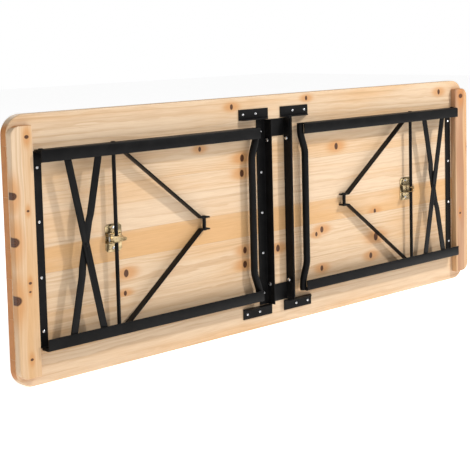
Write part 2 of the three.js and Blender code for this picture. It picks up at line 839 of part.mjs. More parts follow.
// ---- Assembly ----
for (const [label, side] of Object.entries(SIDES)) {
  addBatten(label, side);
  addHingeRail(label, side);
  addHingePins(label, side);
  for (const [edge, end] of Object.entries(EDGES)) {
    addLeg(`leg_${edge}_${label}`, side, end);
    addTab(`corner_tab_${edge}_${label}`, side, end);
  }
  addRod(label, side);
  addCrossbar(label, side);
  addXBrace(label, side);
  addBrace(label, side);
  addCentreRail(label, side);
  addRailBolts(label, side);
  addLatch(label, side);
}
addTieBracket('tie_bracket_upper', 1);
addTieBracket('tie_bracket_lower', -1);
addBoards();

export default table;
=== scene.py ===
"""Looks of the folding picnic table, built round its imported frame. Metres, +Z up."""
import math
import random

import bmesh
import bpy
from mathutils import Matrix, Vector


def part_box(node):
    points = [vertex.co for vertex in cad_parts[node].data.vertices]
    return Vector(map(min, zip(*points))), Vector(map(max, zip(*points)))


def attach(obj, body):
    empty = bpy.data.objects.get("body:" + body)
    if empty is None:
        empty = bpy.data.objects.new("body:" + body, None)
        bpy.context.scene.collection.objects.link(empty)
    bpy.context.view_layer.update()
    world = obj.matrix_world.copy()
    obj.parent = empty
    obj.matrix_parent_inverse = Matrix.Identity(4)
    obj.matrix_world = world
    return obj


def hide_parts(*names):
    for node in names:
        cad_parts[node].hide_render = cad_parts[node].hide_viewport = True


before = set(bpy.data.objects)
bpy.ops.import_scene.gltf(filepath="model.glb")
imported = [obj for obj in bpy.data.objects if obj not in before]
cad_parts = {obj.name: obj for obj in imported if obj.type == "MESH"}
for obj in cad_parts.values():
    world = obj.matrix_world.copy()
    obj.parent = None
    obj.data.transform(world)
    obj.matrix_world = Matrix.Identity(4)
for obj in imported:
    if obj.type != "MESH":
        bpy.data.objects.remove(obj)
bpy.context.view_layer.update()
random.seed(11)

# Places are given as s along the table from its middle, h out from the boards' underside, and
# v across the table from its centre line.
UNDER_Y = 0.008  # y of the boards' underside
TOP_Y = 0.035
MIDDLE_Z = 0.33
HALF_LENGTH = 0.885
GAP = 0.0003  # running and resting clearance
STEEL = 0.003  # thickness of the angle and flat steel
FACE_H = GAP + STEEL  # outer face of steel that lies on the boards
SEAT_H = FACE_H - 0.0002  # where the screws of that steel seat
PIVOT_S = 0.803  # leg hinge axis
PIVOT_H = 0.02
PIVOT_REACH = 0.216  # leg hinge axis to cross rod
ROD_S = PIVOT_S - PIVOT_REACH
LEG_OUTER = 0.244  # outer face of the legs, from the centre line
SIDES = {"left": -1, "right": 1}
EDGES = {"upper": 1, "lower": -1}


# ---- Node graphs -------------------------------------------------------------------------------
class Graph:
    """A short way to write a shader's nodes."""

    def __init__(self, name):
        self.material = bpy.data.materials.new(name)
        self.material.use_nodes = True
        self.tree = self.material.node_tree
        self.tree.nodes.clear()
        self.output = self.tree.nodes.new("ShaderNodeOutputMaterial")
        self.shader = self.tree.nodes.new("ShaderNodeBsdfPrincipled")
        self.tree.links.new(self.shader.outputs[0], self.output.inputs["Surface"])

    def put(self, socket, value):
        if isinstance(value, bpy.types.NodeSocket):
            self.tree.links.new(value, socket)
        elif value is not None:
            socket.default_value = value

    def place(self):
        node = self.tree.nodes.new("ShaderNodeTexCoord")
        return node.outputs["Object"]

    def normal(self):
        return self.tree.nodes.new("ShaderNodeNewGeometry").outputs["Normal"]

    def split(self, vector):
        node = self.tree.nodes.new("ShaderNodeSeparateXYZ")
        self.put(node.inputs[0], vector)
        return node.outputs

    def join(self, x, y, z):
        node = self.tree.nodes.new("ShaderNodeCombineXYZ")
        for socket, value in zip(node.inputs, (x, y, z)):
            self.put(socket, value)
        return node.outputs[0]

    def math(self, operation, a, b=None, c=None, clamp=False):
        node = self.tree.nodes.new("ShaderNodeMath")
        node.operation = operation
        node.use_clamp = clamp
        for socket, value in zip(node.inputs, (a, b, c)):
            self.put(socket, value)
        return node.outputs[0]

    def scaled(self, vector, factors):
        node = self.tree.nodes.new("ShaderNodeVectorMath")
        node.operation = "MULTIPLY"
        self.put(node.inputs[0], vector)
        node.inputs[1].default_value = factors
        return node.outputs[0]

    def noise(self, vector, scale, detail=2.0, roughness=0.5):
        node = self.tree.nodes.new("ShaderNodeTexNoise")
        self.put(node.inputs["Vector"], vector)
        node.inputs["Scale"].default_value = scale
        node.inputs["Detail"].default_value = detail
        node.inputs["Roughness"].default_value = roughness
        return node.outputs["Fac"]

    def span(self, value, low, high, to_low=0.0, to_high=1.0, smooth=True):
        node = self.tree.nodes.new("ShaderNodeMapRange")
        node.interpolation_type = "SMOOTHSTEP" if smooth else "LINEAR"
        self.put(node.inputs["Value"], value)
        limits = {"From Min": low, "From Max": high, "To Min": to_low, "To Max": to_high}
        for name, number in limits.items():
            node.inputs[name].default_value = number
        return node.outputs[0]

    def mix(self, factor, a, b, blend="MIX"):
        node = self.tree.nodes.new("ShaderNodeMix")
        node.data_type = "RGBA"
        node.blend_type = blend
        self.put(node.inputs["Factor"], factor)
        self.put(node.inputs["A"], (*a, 1.0) if isinstance(a, tuple) else a)
        self.put(node.inputs["B"], (*b, 1.0) if isinstance(b, tuple) else b)
        return node.outputs["Result"]

    def bump(self, height, strength, distance):
        node = self.tree.nodes.new("ShaderNodeBump")
        node.inputs["Strength"].default_value = strength
        node.inputs["Distance"].default_value = distance
        self.put(node.inputs["Height"], height)
        return node.outputs[0]

    def surface(self, **inputs):
        for name, value in inputs.items():
            socket = self.shader.inputs[name.replace("_", " ")]
            self.put(socket, (*value, 1.0) if isinstance(value, tuple) else value)
        return self.material


# ---- Wood --------------------------------------------------------------------------------------
PALE = (0.77, 0.585, 0.40)
LATE = (0.54, 0.32, 0.155)
HEART = (0.71, 0.42, 0.185)
KNOT = (0.045, 0.012, 0.004)
KNOT_RING = (0.17, 0.055, 0.016)
HALO = (0.60, 0.27, 0.08)
FIBRE = (0.55, 0.37, 0.21)
END_GRAIN = (0.56, 0.22, 0.055)
END_RING = (0.33, 0.11, 0.025)

# Sizes round a knot, in knot radii.
HALO_LENGTH = 5.5
HALO_WIDTH = 2.4
GRAIN_PUSH = 1.5
KNOT_LENGTH = 0.85
KNOT_WIDTH = 1.15


def squares(g, a, b):
    return g.math("ADD", g.math("MULTIPLY", a, a), g.math("MULTIPLY", b, b))


def knot_fields(g, along, across, knots):
    """Each knot's distance field, its wide halo, and how far it pushes the grain aside."""
    nearness, halos, pushes = [], [], []
    for k_along, k_across, radius in knots:
        a = g.math("SUBTRACT", along, k_along)
        c = g.math("SUBTRACT", across, k_across)
        a_wide = g.math("DIVIDE", a, radius * HALO_LENGTH)
        c_wide = g.math("DIVIDE", c, radius * HALO_WIDTH)
        bell = g.math("POWER", 2.718, g.math("MULTIPLY", squares(g, a_wide, c_wide), -1.0))
        pushes.append(g.math("MULTIPLY", g.math("MULTIPLY", bell, c_wide), radius * GRAIN_PUSH))
        halos.append(bell)
        a_near = g.math("DIVIDE", a, radius * KNOT_LENGTH)
        c_near = g.math("DIVIDE", c, radius * KNOT_WIDTH)
        nearness.append(squares(g, a_near, c_near))
    return nearness, halos, pushes


def folded_up(g, operation, values):
    result = values[0]
    for value in values[1:]:
        result = g.math(operation, result, value)
    return result


def shifted(g, vector, offset):
    node = g.tree.nodes.new("ShaderNodeVectorMath")
    node.operation = "ADD"
    g.put(node.inputs[0], vector)
    node.inputs[1].default_value = offset
    return node.outputs[0]


def noise_about_zero(g, place, scale, detail, size):
    return g.math("MULTIPLY", g.math("SUBTRACT", g.noise(place, scale, detail), 0.5), size)


def late_wood(g, place, across, y, pith, sway, ring):
    """Dark growth rings round the pith, each rising slowly and ending sharply."""
    dc = g.math("ADD", g.math("SUBTRACT", across, pith[0]), sway)
    dy = g.math("SUBTRACT", y, pith[1])
    radius = g.math("SQRT", squares(g, dc, dy))
    radius = g.math("ADD", radius, noise_about_zero(g, place, 9.0, 2.0, 0.006))
    phase = g.math("FRACT", g.math("DIVIDE", radius, ring))
    late = g.math("MULTIPLY", g.span(phase, 0.25, 0.86), g.span(phase, 0.9, 1.0, 1.0, 0.0))
    patchy = g.noise(g.scaled(place, (0.5, 3.0, 3.0)), 3.0, 1.0)
    return g.math("MULTIPLY", late, g.span(patchy, 0.35, 0.7, 0.35, 1.0))


def with_knots(g, colour, nearness, halos, fibre, halo_colour):
    halo = folded_up(g, "MAXIMUM", halos)
    nearest = folded_up(g, "MINIMUM", nearness)
    ragged = g.math("MULTIPLY", g.math("SUBTRACT", fibre, 0.5), 0.5)
    ragged = g.math("ADD", nearest, ragged)
    colour = g.mix(g.span(halo, 0.15, 0.9, 0.0, 0.75), colour, halo_colour)
    rings = g.math("FRACT", g.math("MULTIPLY", g.math("SQRT", nearest), 3.1))
    inner = g.mix(g.span(rings, 0.2, 0.9, 0.0, 0.55), KNOT, KNOT_RING)
    return g.mix(g.span(ragged, 0.7, 1.25, 0.97, 0.0), colour, inner)


def wood(
    name,
    grain,
    pith,
    seed,
    knots=(),
    heart=None,
    band=HEART,
    tone=(1.0, 1.0, 1.0),
    ring=0.0046,
    contrast=0.5,
):
    """Softwood. grain is "x" or "z"; pith is the tree's centre (across, y), in or out of the board.

    knots are (along, across, radius). heart is (across, half width) of a band of its own colour.
    """
    def tint(colour):
        return tuple(c * t for c, t in zip(colour, tone))

    g = Graph(name)
    x, y, z = g.split(g.place())[0:3]
    along, across = (x, z) if grain == "x" else (z, x)
    nearness, halos, pushes = knot_fields(g, along, across, knots)
    bent = across
    if pushes:
        bent = g.math("SUBTRACT", across, folded_up(g, "ADD", pushes))

    stretched = g.join(
        g.math("MULTIPLY", along, 0.9),
        g.math("MULTIPLY", y, 7.0),
        g.math("MULTIPLY", across, 7.0),
    )
    place = shifted(g, stretched, (seed * 3.7, seed * 1.3, seed * 5.1))
    sway = noise_about_zero(g, place, 1.6, 1.5, 0.05)
    late = late_wood(g, place, bent, y, pith, sway, ring)
    fibre_place = g.join(
        g.math("MULTIPLY", along, 9.0),
        g.math("MULTIPLY", y, 420.0),
        g.math("MULTIPLY", across, 420.0),
    )
    fibre = g.noise(fibre_place, 2.0, 3.0, 0.6)
    blotch = g.noise(place, 2.3, 3.0)
    streaks = g.noise(g.scaled(place, (0.7, 1.6, 9.0)), 2.2, 3.0, 0.6)

    colour = g.mix(g.math("MULTIPLY", late, contrast), tint(PALE), tint(LATE))
    colour = g.mix(g.span(blotch, 0.42, 0.72, 0.0, 0.55), colour, tint(HEART))
    colour = g.mix(g.span(streaks, 0.54, 0.7, 0.0, 0.42), colour, tint(LATE))
    if heart:
        middle, half = heart
        swayed = g.math("ADD", bent, g.math("MULTIPLY", sway, 0.8))
        offset = g.math("ABSOLUTE", g.math("SUBTRACT", swayed, middle))
        inside = g.span(offset, half * 0.75, half, 0.9, 0.0)
        strength = g.math("MULTIPLY", inside, g.span(blotch, 0.32, 0.58, 0.4, 1.0))
        colour = g.mix(strength, colour, tint(band))
    colour = g.mix(g.span(fibre, 0.3, 0.75, 0.0, 0.22), colour, FIBRE, "MULTIPLY")
    if halos:
        colour = with_knots(g, colour, nearness, halos, fibre, tint(HALO))

    facing = g.math("ABSOLUTE", g.split(g.normal())[0 if grain == "x" else 2])
    end = g.span(facing, 0.75, 0.95)
    end_colour = g.mix(g.math("MULTIPLY", late, 0.75), END_GRAIN, END_RING)
    colour = g.mix(g.math("MULTIPLY", end, 0.97), colour, end_colour)

    height = g.math("ADD", g.math("MULTIPLY", late, 0.6), g.math("MULTIPLY", fibre, 0.5))
    rough = g.span(g.math("ADD", fibre, late), 0.3, 1.5, 0.42, 0.58, smooth=False)
    return g.surface(
        Base_Color=colour,
        Roughness=rough,
        Normal=g.bump(height, 0.25, 0.0004),
        Coat_Weight=0.06,
        Coat_Roughness=0.28,
        Specular_IOR_Level=0.35,
    )


# ---- Metals ------------------------------------------------------------------------------------
def powder_coat(name="black_powder_coat"):
    g = Graph(name)
    place = g.place()
    grit = g.noise(place, 2600.0, 2.0, 0.6)
    peel = g.noise(place, 420.0, 2.0)
    dust = g.noise(place, 23.0, 4.0, 0.65)
    scuff = g.span(g.noise(g.scaled(place, (1.0, 1.0, 0.25)), 90.0, 5.0, 0.7), 0.66, 0.78, 0.0, 0.35)
    colour = g.mix(g.span(dust, 0.35, 0.75), (0.0035, 0.0034, 0.0036), (0.0075, 0.0072, 0.0075))
    colour = g.mix(scuff, colour, (0.022, 0.021, 0.020))
    height = g.math("ADD", g.math("MULTIPLY", peel, 0.7), g.math("MULTIPLY", grit, 0.3))
    return g.surface(
        Base_Color=colour,
        Roughness=g.span(g.math("ADD", dust, scuff), 0.3, 1.0, 0.42, 0.56, smooth=False),
        Specular_IOR_Level=0.12,
        Normal=g.bump(height, 0.35, 0.0001),
    )


def plated(name, bright, dull, low, high, scale=60.0):
    g = Graph(name)
    place = g.place()
    cloud = g.noise(place, scale, 4.0, 0.6)
    scratch = g.noise(g.scaled(place, (1.0, 1.0, 14.0)), 340.0, 3.0, 0.7)
    colour = g.mix(g.span(cloud, 0.35, 0.7), bright, dull)
    colour = g.mix(g.span(scratch, 0.6, 0.72, 0.0, 0.3), colour, tuple(c * 0.55 for c in dull))
    return g.surface(
        Base_Color=colour,
        Metallic=1.0,
        Roughness=g.span(g.math("ADD", cloud, scratch), 0.6, 1.4, low, high, smooth=False),
        Normal=g.bump(scratch, 0.12, 0.00008),
    )


BLACK = powder_coat()
BRASS = plated("brass_plate", (0.60, 0.47, 0.27), (0.27, 0.19, 0.095), 0.16, 0.34)
ZINC = plated("bright_zinc", (0.80, 0.81, 0.83), (0.60, 0.61, 0.63), 0.18, 0.34, 240.0)


# ---- Mesh helpers ------------------------------------------------------------------------------
def add_object(name, mesh, material, body, replaces=()):
    thing = bpy.data.objects.new(name, mesh)
    bpy.context.scene.collection.objects.link(thing)
    thing.data.materials.clear()
    thing.data.materials.append(material)
    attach(thing, body)
    if replaces:
        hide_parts(*replaces)
    return thing


def from_bmesh(name, bm):
    bmesh.ops.recalc_face_normals(bm, faces=bm.faces)
    mesh = bpy.data.meshes.new(name)
    bm.to_mesh(mesh)
    bm.free()
    return mesh


def softened(mesh, width, segments=2, angle=30):
    """The mesh with its edges rounded off. With no angle, the edges' own weights say which."""
    holder = bpy.data.objects.new("holder", mesh)
    bpy.context.scene.collection.objects.link(holder)
    bevel = holder.modifiers.new("edges", "BEVEL")
    bevel.width = width
    bevel.segments = segments
    bevel.limit_method = "WEIGHT" if angle is None else "ANGLE"
    if angle is not None:
        bevel.angle_limit = math.radians(angle)
    bevel.harden_normals = True
    for polygon in mesh.polygons:
        polygon.use_smooth = True
    mesh.update()
    evaluated = holder.evaluated_get(bpy.context.evaluated_depsgraph_get())
    result = bpy.data.meshes.new_from_object(evaluated)
    bpy.data.objects.remove(holder)
    return result


def prism_mesh(name, outline, basis, low, high):
    """An outline in a plane, pushed along the third direction of basis from low to high."""
    bm = bmesh.new()
    u, v, w = (Vector(axis) for axis in basis)
    ends = []
    for depth in (low, high):
        ends.append([bm.verts.new(u * a + v * b + w * depth) for a, b in outline])
    bm.faces.new(ends[0])
    bm.faces.new(reversed(ends[1]))
    count = len(outline)
    for i in range(count):
        j = (i + 1) % count
        bm.faces.new((ends[0][j], ends[0][i], ends[1][i], ends[1][j]))
    return from_bmesh(name, bm)


ALONG_X = ((0, 1, 0), (0, 0, 1), (1, 0, 0))  # outline in y, z
ALONG_Y = ((1, 0, 0), (0, 0, 1), (0, 1, 0))  # outline in x, z
ALONG_Z = ((1, 0, 0), (0, 1, 0), (0, 0, 1))  # outline in x, y


def joined(name, meshes):
    bm = bmesh.new()
    for mesh in meshes:
        bm.from_mesh(mesh)
    mesh = bpy.data.meshes.new(name)
    bm.to_mesh(mesh)
    bm.free()
    return mesh


def lathe_mesh(name, profile, axis, centre, segments=32):
    """A closed profile of (radius, distance along axis), turned about an axis through centre."""
    bm = bmesh.new()
    turn = Vector((0, 0, 1)).rotation_difference(Vector(axis)).to_matrix().to_4x4()
    place = Matrix.Translation(centre) @ turn
    rings = []
    for radius, distance in profile:
        if radius < 1e-7:
            rings.append([bm.verts.new(place @ Vector((0, 0, distance)))])
            continue
        ring = []
        for i in range(segments):
            angle = math.tau * i / segments
            point = Vector((radius * math.cos(angle), radius * math.sin(angle), distance))
            ring.append(bm.verts.new(place @ point))
        rings.append(ring)
    for lower, upper in zip(rings, rings[1:]):
        for i in range(segments):
            j = (i + 1) % segments
            if len(lower) == 1:
                bm.faces.new((lower[0], upper[j], upper[i]))
            elif len(upper) == 1:
                bm.faces.new((lower[i], lower[j], upper[0]))
            else:
                bm.faces.new((lower[i], lower[j], upper[j], upper[i]))
    for face in bm.faces:
        face.smooth = True
    for edge in bm.edges:
        if len(edge.link_faces) == 2 and edge.calc_face_angle(0.0) > math.radians(38):
            edge.smooth = False
    return from_bmesh(name, bm)


def refined(node, width):
    """A copy of a CAD piece with its flat faces cleaned up and its edges rounded off."""
    bm = bmesh.new()
    bm.from_mesh(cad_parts[node].data)
    bmesh.ops.remove_doubles(bm, verts=bm.verts, dist=1e-6)
    bmesh.ops.dissolve_limit(bm, angle_limit=math.radians(0.6), verts=bm.verts, edges=bm.edges)
    return softened(from_bmesh(node, bm), width)


# ---- Boards ------------------------------------------------------------------------------------
CORNER = 0.05
KNOT_SIZE = 1.5
SEAMS = (0.257, 0.135, 0.012, -0.060, -0.158, -0.257)
SEAM_GAP = 0.00008
SEAM_WEIGHT = 0.12
KNOTS = {
    "edge_board_upper": ((-0.162, 0.305, 0.0045), (0.135, 0.313, 0.004), (0.76, 0.298, 0.005)),
    "board_1": ((-0.127, 0.161, 0.006), (-0.282, 0.199, 0.004), (0.261, 0.162, 0.006)),
    "board_2": ((-0.129, 0.119, 0.006),),
    "board_3": ((0.434, -0.055, 0.0045),),
    "board_4": (
        (-0.544, -0.098, 0.006),
        (-0.549, -0.149, 0.004),
        (-0.124, -0.098, 0.0055),
        (-0.125, -0.138, 0.006),
        (0.006, -0.111, 0.006),
        (0.192, -0.081, 0.0055),
        (0.168, -0.092, 0.004),
        (0.437, -0.135, 0.0075),
    ),
    "board_5": ((0.412, -0.191, 0.0055), (0.189, -0.197, 0.005)),
}
BOARD_LOOKS = {
    "edge_board_upper": dict(pith=(0.30, -0.09), seed=1.0, contrast=0.42),
    "board_1": dict(pith=(0.21, -0.075), seed=2.1, contrast=0.5, tone=(1.0, 0.985, 0.96)),
    "board_2": dict(pith=(0.06, -0.10), seed=3.4, contrast=0.36, tone=(1.03, 1.04, 1.06)),
    "board_3": dict(pith=(-0.02, 0.07), seed=4.9, contrast=0.5, heart=(-0.028, 0.045)),
    "board_4": dict(pith=(-0.115, -0.05), seed=5.2, contrast=0.45, tone=(1.0, 0.99, 0.97)),
    "board_5": dict(pith=(-0.20, 0.09), seed=6.6, contrast=0.5, tone=(0.99, 0.965, 0.93)),
    "edge_board_lower": dict(pith=(-0.30, -0.085), seed=7.3, contrast=0.42),
}


def board_outline(low, high):
    """The part of the table's rounded outline between two heights, as (x, z)."""
    def half_width(z):
        edge = max(abs(z) - (MIDDLE_Z - CORNER), 0.0)
        return HALF_LENGTH - CORNER + math.sqrt(max(CORNER ** 2 - edge ** 2, 0.0))

    heights = [low, high]
    for i in range(1, 16):
        rise = MIDDLE_Z - CORNER + CORNER * math.sin(math.pi / 2 * i / 16)
        heights += [z for z in (rise, -rise) if low < z < high]
    heights.sort()
    right = [(half_width(z), MIDDLE_Z + z) for z in heights]
    return right + [(-x, z) for x, z in reversed(right)]


def weigh_edges(bm):
    """Full rounding on the table's outer edges, and only a little along the seams."""
    weight = bm.edges.layers.float.new("bevel_weight_edge")
    for edge in bm.edges:
        if edge.calc_face_angle(0.0) <= math.radians(60):
            continue
        z = [vertex.co.z - MIDDLE_Z for vertex in edge.verts]
        at_seam = any(all(abs(value - seam) < 0.0002 for value in z) for seam in SEAMS)
        edge[weight] = SEAM_WEIGHT if at_seam else 1.0


def board_mesh(name, low, high):
    bottom = low + (SEAM_GAP if low > -MIDDLE_Z else 0.0)
    top = high - (SEAM_GAP if high < MIDDLE_Z else 0.0)
    bm = bmesh.new()
    outline = board_outline(bottom, top)
    front = [bm.verts.new((x, UNDER_Y, z)) for x, z in outline]
    back = [bm.verts.new((x, TOP_Y, z)) for x, z in outline]
    bm.faces.new(front)
    bm.faces.new(reversed(back))
    count = len(outline)
    for i in range(count):
        j = (i + 1) % count
        bm.faces.new((front[j], front[i], back[i], back[j]))
    bmesh.ops.recalc_face_normals(bm, faces=bm.faces)
    weigh_edges(bm)
    return softened(from_bmesh(name, bm), 0.0038, 4, None)


def make_boards():
    edges = (MIDDLE_Z, *SEAMS, -MIDDLE_Z)
    for (name, look), high, low in zip(BOARD_LOOKS.items(), edges, edges[1:]):
        look = dict(look)
        look["pith"] = (MIDDLE_Z + look["pith"][0], UNDER_Y + look["pith"][1])
        if "heart" in look:
            look["heart"] = (MIDDLE_Z + look["heart"][0], look["heart"][1])
        knots = [(s, MIDDLE_Z + v, r * KNOT_SIZE) for s, v, r in KNOTS.get(name, ())]
        material = wood(f"wood_{name}", "x", knots=knots, **look)
        mesh = board_mesh(name, low, high)
        add_object(f"{name}_wood", mesh, material, "tabletop", (name,))


BATTEN_HALF_LENGTH = 0.304
BATTEN_CORNER = 0.025
BATTEN_LOOKS = {
    "left": dict(
        pith=(-0.9, 0.045),
        seed=8.2,
        heart=(-0.842, 0.022),
        band=(0.70, 0.43, 0.21),
        knots=(
            (MIDDLE_Z + 0.277, -0.841, 0.0055),
            (MIDDLE_Z + 0.101, -0.845, 0.0035),
            (MIDDLE_Z - 0.072, -0.847, 0.004),
            (MIDDLE_Z - 0.093, -0.848, 0.003),
            (MIDDLE_Z - 0.257, -0.851, 0.004),
            (MIDDLE_Z + 0.14, -0.887, 0.011),
            (MIDDLE_Z + 0.03, -0.888, 0.014),
            (MIDDLE_Z - 0.11, -0.888, 0.014),
        ),
    ),
    "right": dict(
        pith=(0.93, 0.035),
        seed=9.4,
        tone=(0.88, 0.78, 0.69),
        heart=(0.8415, 0.0215),
        band=(0.48, 0.265, 0.155),
        knots=(
            (MIDDLE_Z + 0.28, 0.851, 0.009),
            (MIDDLE_Z - 0.109, 0.845, 0.0045),
            (MIDDLE_Z + 0.11, 0.886, 0.005),
        ),
    ),
}


def batten_outline(inner, outer, side):
    outline = [(inner, MIDDLE_Z + BATTEN_HALF_LENGTH)]
    for sign in (1, -1):
        x = outer - side * BATTEN_CORNER
        z = MIDDLE_Z + sign * (BATTEN_HALF_LENGTH - BATTEN_CORNER)
        arc = []
        for i in range(13):
            angle = math.pi / 2 * i / 12
            across = side * BATTEN_CORNER * math.cos(angle)
            arc.append((x + across, z + sign * BATTEN_CORNER * math.sin(angle)))
        outline += arc[::-1] if sign > 0 else arc
    return outline + [(inner, MIDDLE_Z - BATTEN_HALF_LENGTH)]


def make_battens():
    for label, side in SIDES.items():
        node = f"end_batten_{label}"
        low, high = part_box(node)
        inner, outer = (low.x, high.x) if side > 0 else (high.x, low.x)
        outline = batten_outline(inner, outer, side)
        mesh = softened(prism_mesh(node, outline, ALONG_Y, low.y, high.y), 0.003, 4, 50)
        material = wood(f"wood_{node}", "z", contrast=0.42, ring=0.0052, **BATTEN_LOOKS[label])
        add_object(f"{node}_wood", mesh, material, "tabletop", (node,))


# ---- Screws ------------------------------------------------------------------------------------
def screw_mesh(name, x, seat, z, turn, radius=0.0042, height=0.0024):
    """A domed head with a cross recess, facing -y. seat is how far it sits out from the boards."""
    bm = bmesh.new()
    rings, segments = 9, 32
    face_y = UNDER_Y - seat
    grid = []
    for i in range(rings + 1):
        part = i / rings
        r = radius * part
        dome = height * (1 - part ** 2.6)
        ring = []
        for j in range(segments):
            angle = math.tau * j / segments
            a, b = r * math.cos(angle), r * math.sin(angle)
            slot = min(abs(a), abs(b))
            reach = max(abs(a), abs(b))
            depth = 0.0
            if reach < radius * 0.56 and slot < radius * 0.13:
                depth = height * 0.75 * (1 - (reach / (radius * 0.62)) ** 2)
            turned = angle + turn
            point = (x + r * math.cos(turned), face_y - dome + depth, z + r * math.sin(turned))
            ring.append(bm.verts.new(point))
        grid.append(ring)
    skirt = []
    for j in range(segments):
        angle = math.tau * j / segments + turn
        point = (x + radius * math.cos(angle), face_y + 0.0004, z + radius * math.sin(angle))
        skirt.append(bm.verts.new(point))
    grid.append(skirt)
    for inner, outer in zip(grid, grid[1:]):
        for j in range(segments):
            k = (j + 1) % segments
            bm.faces.new((inner[j], inner[k], outer[k], outer[j]))
    bmesh.ops.remove_doubles(bm, verts=bm.verts, dist=1e-7)
    bm.faces.new(skirt)
    for face in bm.faces:
        face.smooth = True
    return from_bmesh(name, bm)


def add_screw(name, x, v, seat, replaces=()):
    turn = random.uniform(0, math.pi / 2)
    mesh = screw_mesh(name, x, seat, MIDDLE_Z + v, turn)
    return add_object(name, mesh, ZINC, "tabletop", replaces)


# ---- Steel on the table top --------------------------------------------------------------------
HINGE_RAIL_S = 0.8035
EAR_RADIUS = 0.011
RAIL_HEIGHT = 0.03
RAIL_HALF = 0.263
TAB_START = 0.025
TAB_END = 0.137
TAB_V = 0.265
TAB_FLANGE = 0.03
TAB_HEIGHT = 0.02
TAB_TAPER = 0.016


def add_refined(node, width, body, material=BLACK, ending="coated"):
    """The look of a piece that needs only its CAD shape with softer edges."""
    add_object(f"{node}_{ending}", refined(node, width), material, body, (node,))


def make_hinge_rail(label, side):
    """A strip with an ear bent up at each end."""
    middle = side * HINGE_RAIL_S
    half_width, half_length = 0.012, 0.24
    strip = [
        (middle - half_width, MIDDLE_Z - half_length),
        (middle + half_width, MIDDLE_Z - half_length),
        (middle + half_width, MIDDLE_Z + half_length),
        (middle - half_width, MIDDLE_Z + half_length),
    ]
    flat = prism_mesh("strip", strip, ALONG_Y, UNDER_Y - FACE_H, UNDER_Y - GAP)
    parts = [softened(flat, 0.0005)]
    x, y = side * PIVOT_S, UNDER_Y - PIVOT_H
    ear = [(x - EAR_RADIUS, UNDER_Y - GAP), (x + EAR_RADIUS, UNDER_Y - GAP)]
    for i in range(21):
        angle = math.pi * i / 20
        ear.append((x + EAR_RADIUS * math.cos(angle), y - EAR_RADIUS * math.sin(angle)))
    for sign in (1, -1):
        ends = (MIDDLE_Z + sign * (half_length - STEEL), MIDDLE_Z + sign * half_length)
        low, high = sorted(ends)
        parts.append(softened(prism_mesh("ear", ear, ALONG_Z, low, high), 0.0005))
    node = f"hinge_rail_{label}"
    add_object(f"{node}_coated", joined(node, parts), BLACK, "tabletop", (node,))
    for i, v in enumerate((0.2, 0.068, -0.068, -0.2)):
        add_screw(f"hinge_rail_screw_{label}_{i + 1}", middle, v, SEAT_H)


def make_centre_rail(label, side):
    """An angle with its flange screwed down."""
    web, outer, tip = side * 0.038, side * 0.041, side * 0.071
    profile = [
        (web, UNDER_Y - GAP),
        (tip, UNDER_Y - GAP),
        (tip, UNDER_Y - FACE_H),
        (outer + side * 0.0015, UNDER_Y - FACE_H),
        (outer + side * 0.0004, UNDER_Y - 0.0037),
        (outer, UNDER_Y - 0.0048),
        (outer, UNDER_Y - RAIL_HEIGHT),
        (web, UNDER_Y - RAIL_HEIGHT),
    ]
    rail = prism_mesh("rail", profile, ALONG_Z, MIDDLE_Z - RAIL_HALF, MIDDLE_Z + RAIL_HALF)
    node = f"centre_rail_{label}"
    mesh = softened(rail, 0.0006)
    add_object(f"{node}_coated", mesh, BLACK, "tabletop", (node,))
    for i, v in enumerate((0.23, 0.115, 0.0, -0.115, -0.23)):
        add_screw(f"centre_rail_screw_{label}_{i + 1}", side * 0.056, v, SEAT_H)


def make_corner_tab(label, side, edge, end):
    """A short angle on an outer board, its standing flange tapered at both ends."""
    root = MIDDLE_Z + end * TAB_V
    near, far = side * TAB_START, side * TAB_END
    edge_z = root + end * TAB_FLANGE
    flat = [(near, root), (far, root), (far, edge_z), (near, edge_z)]
    standing = [
        (near, UNDER_Y - GAP),
        (far, UNDER_Y - GAP),
        (far, UNDER_Y - FACE_H),
        (far - side * TAB_TAPER, UNDER_Y - TAB_HEIGHT),
        (near + side * TAB_TAPER, UNDER_Y - TAB_HEIGHT),
        (near, UNDER_Y - FACE_H),
    ]
    low, high = sorted((root, root + end * STEEL))
    parts = [
        softened(prism_mesh("flat", flat, ALONG_Y, UNDER_Y - FACE_H, UNDER_Y - GAP), 0.0005),
        softened(prism_mesh("flange", standing, ALONG_Z, low, high), 0.0005),
    ]
    node = f"corner_tab_{edge}_{label}"
    add_object(f"{node}_coated", joined(node, parts), BLACK, "tabletop", (node,))
    for i, s in enumerate((0.074, 0.122)):
        name = f"corner_tab_screw_{edge}_{label}_{i + 1}"
        add_screw(name, side * s, end * 0.281, SEAT_H)


def make_fixed_steel():
    for label, side in SIDES.items():
        make_hinge_rail(label, side)
        make_centre_rail(label, side)
        for edge, end in EDGES.items():
            make_corner_tab(label, side, edge, end)
    for edge in EDGES:
        add_refined(f"tie_bracket_{edge}", 0.0006, "tabletop")


